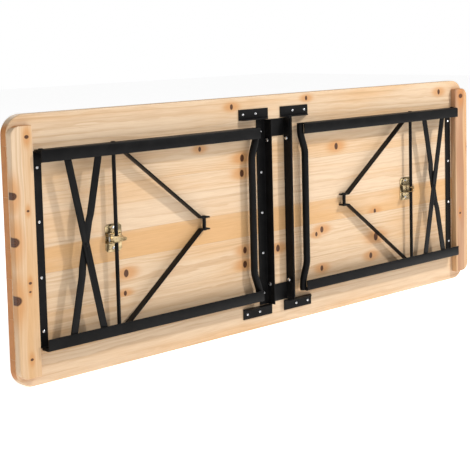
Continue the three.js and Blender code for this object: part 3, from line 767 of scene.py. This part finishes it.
def make_fasteners():
    for label, side in SIDES.items():
        for edge, end in EDGES.items():
            node = f"hinge_pin_{edge}_{label}"
            profile = [
                (0, 0.2342),
                (0.0042, 0.2342),
                (0.0052, 0.2347),
                (0.0055, 0.2356),
                (0.0055, 0.2367),
                (0.004, 0.2367),
                (0.004, 0.2443),
                (0.0065, 0.2443),
                (0.0065, 0.2449),
                (0.0058, 0.2461),
                (0.0042, 0.2467),
                (0, 0.2468),
            ]
            centre = Vector((side * PIVOT_S, UNDER_Y - PIVOT_H, MIDDLE_Z))
            mesh = lathe_mesh(node, profile, (0, 0, end), centre)
            add_object(f"{node}_coated", mesh, BLACK, "tabletop", (node,))

            node = f"rail_bolt_{edge}_{label}"
            profile = [
                (0, 0.0318),
                (0.0018, 0.0319),
                (0.0034, 0.0323),
                (0.0046, 0.033),
                (0.0052, 0.034),
                (0.0052, 0.0344),
                (0.003, 0.0344),
                (0.003, 0.0413),
                (0.0055, 0.0413),
                (0.0055, 0.0438),
                (0.0049, 0.0443),
                (0, 0.0443),
            ]
            centre = Vector((0, UNDER_Y - 0.014, MIDDLE_Z + end * 0.205))
            mesh = lathe_mesh(node, profile, (side, 0, 0), centre)
            add_object(f"{node}_plated", mesh, ZINC, "tabletop", (node,))

            node = f"latch_screw_{edge}_{label}"
            add_screw(f"{node}_plated", side * 0.582, end * 0.026, 0.0021, (node,))


# ---- Leg frames --------------------------------------------------------------------------------
def tube_mesh(name, points, radius, sides=28, wall=None):
    """A round tube through the points, open at its ends when it has a wall."""
    bm = bmesh.new()
    rings = []
    shells = [radius] if wall is None else [radius, radius - wall]
    for shell in shells:
        loop = []
        for i, point in enumerate(points):
            before, after = points[max(i - 1, 0)], points[min(i + 1, len(points) - 1)]
            direction = (after - before).normalized()
            across = Vector((0, 1, 0))
            up = direction.cross(across).normalized()
            across = up.cross(direction)
            ring = []
            for j in range(sides):
                angle = math.tau * j / sides
                offset = across * math.cos(angle) + up * math.sin(angle)
                ring.append(bm.verts.new(point + offset * shell))
            loop.append(ring)
        rings.append(loop)
    for loop in rings:
        for a, b in zip(loop, loop[1:]):
            for j in range(sides):
                k = (j + 1) % sides
                face = bm.faces.new((a[j], a[k], b[k], b[j]))
                face.smooth = True
    if wall is None:
        bm.faces.new(rings[0][0])
        bm.faces.new(rings[0][-1])
    else:
        for end in (0, -1):
            for j in range(sides):
                k = (j + 1) % sides
                outer, inner = rings[0][end], rings[1][end]
                bm.faces.new((outer[j], outer[k], inner[k], inner[j]))
    return from_bmesh(name, bm)


def smooth_step(value, low, high):
    t = min(max((value - low) / (high - low), 0.0), 1.0)
    return t * t * (3 - 2 * t)


CROSSBAR_S = 0.0895
CROSSBAR_H = 0.018
CROSSBAR_CRANK = 0.017


def make_leg_frames():
    for label, side in SIDES.items():
        body = f"leg_frame_{label}"
        for edge in EDGES:
            add_refined(f"leg_{edge}_{label}", 0.0006, body)
        for kind in ("outer", "inner"):
            add_refined(f"x_bar_{kind}_{label}", 0.0006, body)

        points = []
        for i in range(97):
            v = -0.2435 + 0.487 * i / 96
            raised = smooth_step(LEG_OUTER - abs(v), 0.022, 0.088)
            s = CROSSBAR_S + CROSSBAR_CRANK * raised
            points.append(Vector((side * s, UNDER_Y - CROSSBAR_H, MIDDLE_Z + v)))
        node = f"foot_crossbar_{label}"
        mesh = tube_mesh(node, points, 0.00995, 32, 0.0016)
        add_object(f"{node}_coated", mesh, BLACK, body, (node,))

        node = f"cross_rod_{label}"
        profile = [
            (0, -0.2467),
            (0.0052, -0.2466),
            (0.0066, -0.2456),
            (0.007, -0.2447),
            (0.007, -0.2443),
            (0.005, -0.2443),
            (0.005, 0.2443),
            (0.007, 0.2443),
            (0.007, 0.2447),
            (0.0066, 0.2456),
            (0.0052, 0.2466),
            (0, 0.2467),
        ]
        centre = Vector((side * ROD_S, UNDER_Y - PIVOT_H, MIDDLE_Z))
        mesh = lathe_mesh(node, profile, (0, 0, 1), centre)
        add_object(f"{node}_coated", mesh, BLACK, body, (node,))

        node = f"x_rivet_{label}"
        low = 0.0267
        profile = [
            (0, low - 0.0016),
            (0.0034, low - 0.0014),
            (0.005, low - 0.0007),
            (0.0055, low),
            (0.003, low),
            (0.003, 0.034),
            (0.0055, 0.034),
            (0.005, 0.0347),
            (0.0034, 0.0354),
            (0, 0.0356),
        ]
        centre = Vector((side * 0.689, UNDER_Y, MIDDLE_Z))
        mesh = lathe_mesh(node, profile, (0, -1, 0), centre)
        add_object(f"{node}_coated", mesh, BLACK, body, (node,))


# ---- V braces ----------------------------------------------------------------------------------
BRACE_APEX_H = 0.0098
BRACE_LENGTH = PIVOT_REACH * math.sqrt(2)
BRACE_TILT = math.asin((PIVOT_H - BRACE_APEX_H) / BRACE_LENGTH)


def make_braces():
    for label, side in SIDES.items():
        body = f"brace_{label}"
        for edge in EDGES:
            add_refined(f"brace_arm_{edge}_{label}", 0.0005, body)
        node = f"brace_apex_pin_{label}"
        profile = [
            (0, -0.0198),
            (0.0055, -0.0198),
            (0.0062, -0.0193),
            (0.0062, -0.0183),
            (0.005, -0.0183),
            (0.005, 0.0183),
            (0.0062, 0.0183),
            (0.0062, 0.0193),
            (0.0055, 0.0198),
            (0, 0.0198),
        ]
        reach = BRACE_LENGTH * math.cos(BRACE_TILT)
        centre = Vector((side * (ROD_S - reach), UNDER_Y - BRACE_APEX_H, MIDDLE_Z))
        mesh = lathe_mesh(node, profile, (0, 0, 1), centre)
        add_object(f"{node}_coated", mesh, BLACK, body, (node,))


# ---- Latches -----------------------------------------------------------------------------------
COIL_RADIUS = 0.0031
COIL_TURNS = 4
COIL_WIDTH = 0.009
WIRE_RADIUS = 0.00045


def coil_mesh(name, centre, steps=160, sides=10):
    points = []
    for i in range(steps + 1):
        t = i / steps
        angle = t * COIL_TURNS * math.tau
        x, y = COIL_RADIUS * math.cos(angle), COIL_RADIUS * math.sin(angle)
        points.append(centre + Vector((x, y, (t - 0.5) * COIL_WIDTH)))
    bm = bmesh.new()
    rings = []
    for i, point in enumerate(points):
        direction = (points[min(i + 1, steps)] - points[max(i - 1, 0)]).normalized()
        outward = point - centre
        outward.z = 0
        outward.normalize()
        up = direction.cross(outward)
        ring = []
        for j in range(sides):
            a = math.tau * j / sides
            offset = outward * math.cos(a) + up * math.sin(a)
            ring.append(bm.verts.new(point + offset * WIRE_RADIUS))
        rings.append(ring)
    for a, b in zip(rings, rings[1:]):
        for j in range(sides):
            k = (j + 1) % sides
            bm.faces.new((a[j], a[k], b[k], b[j])).smooth = True
    bm.faces.new(rings[0])
    bm.faces.new(rings[-1])
    return from_bmesh(name, bm)


def make_latches():
    for label, side in SIDES.items():
        add_refined(f"latch_plate_{label}", 0.0003, "tabletop", BRASS, "plated")
        # wider rounding than this closes a face across the lever's slot
        lever = f"latch_lever_{label}"
        add_refined(lever, 0.00012, lever, BRASS, "plated")

        node = f"latch_pin_{label}"
        profile = [
            (0, -0.0133),
            (0.0026, -0.0133),
            (0.0032, -0.0129),
            (0.0032, -0.0123),
            (0.002, -0.0123),
            (0.002, 0.0123),
            (0.0032, 0.0123),
            (0.0032, 0.0129),
            (0.0026, 0.0133),
            (0, 0.0133),
        ]
        centre = Vector((side * 0.601, UNDER_Y - 0.01, MIDDLE_Z))
        mesh = lathe_mesh(node, profile, (0, 0, 1), centre, 24)
        add_object(f"{node}_plated", mesh, ZINC, "tabletop", (node,))

        node = f"latch_spring_{label}"
        mesh = coil_mesh(node, centre)
        add_object(f"{node}_wire", mesh, ZINC, "tabletop", (node,))


make_boards()
make_battens()
make_fixed_steel()
make_fasteners()
make_leg_frames()
make_braces()
make_latches()


# ---- Camera, floor and lights ------------------------------------------------------------------
FRAME_SHIFT = -0.180851  # puts the table above the middle of the frame


def make_camera():
    data = bpy.data.cameras.new("camera")
    camera = bpy.data.objects.new("camera", data)
    bpy.context.scene.collection.objects.link(camera)
    right = Vector((0.72938, -0.68366, -0.02488))
    back = -Vector((0.67875, 0.72772, -0.09859))
    up = back.cross(right)
    rotation = Matrix((right, up, back)).transposed()
    camera.rotation_mode = "QUATERNION"
    camera.rotation_quaternion = rotation.to_quaternion()
    camera.location = (-2.42934, -2.43309, 0.84653)
    data.sensor_width = 36.0
    data.lens = 93.22
    data.shift_y = FRAME_SHIFT
    data.clip_start = 0.05
    data.clip_end = 60.0
    bpy.context.scene.camera = camera


def area_light(name, place, size, power, colour=(1.0, 1.0, 1.0)):
    data = bpy.data.lights.new(name, "AREA")
    data.shape = "DISK"
    data.size = size
    data.energy = power
    data.color = colour
    light = bpy.data.objects.new(name, data)
    bpy.context.scene.collection.objects.link(light)
    light.location = place
    direction = Vector((0.0, 0.0, MIDDLE_Z)) - Vector(place)
    light.rotation_mode = "QUATERNION"
    light.rotation_quaternion = direction.to_track_quat("-Z", "Y")


WORLD_LIGHT = 0.36


def make_stage():
    g = Graph("pale_floor")
    grain = g.noise(g.place(), 14.0, 3.0)
    material = g.surface(
        Base_Color=g.mix(g.span(grain, 0.3, 0.7), (0.94, 0.94, 0.94), (0.965, 0.965, 0.965)),
        Roughness=0.85,
        Emission_Color=(1.0, 1.0, 1.0),
        Emission_Strength=0.62,
    )
    bm = bmesh.new()
    size = 14.0
    corners = [(-size, -size), (size, -size), (size, size), (-size, size)]
    bm.faces.new([bm.verts.new((x, y, -0.0005)) for x, y in corners])
    mesh = from_bmesh("floor", bm)
    floor = bpy.data.objects.new("floor", mesh)
    bpy.context.scene.collection.objects.link(floor)
    floor.data.materials.append(material)

    world = bpy.data.worlds.new("studio")
    world.use_nodes = True
    tree = world.node_tree
    background = tree.nodes["Background"]
    background.inputs["Color"].default_value = (1.0, 1.0, 1.0, 1.0)
    seen = tree.nodes.new("ShaderNodeLightPath")
    strength = tree.nodes.new("ShaderNodeMapRange")
    strength.inputs["To Min"].default_value = WORLD_LIGHT
    strength.inputs["To Max"].default_value = 1.0
    tree.links.new(seen.outputs["Is Camera Ray"], strength.inputs["Value"])
    tree.links.new(strength.outputs[0], background.inputs["Strength"])
    bpy.context.scene.world = world


make_camera()
make_stage()
area_light("key", (2.3, -2.6, 3.2), 0.35, 126.0, (1.0, 0.98, 0.95))
area_light("fill", (-3.0, -3.2, 1.6), 2.5, 22.0)
area_light("back", (0.5, 3.5, 2.5), 2.0, 30.0)
bpy.context.scene.view_settings.view_transform = "Standard"
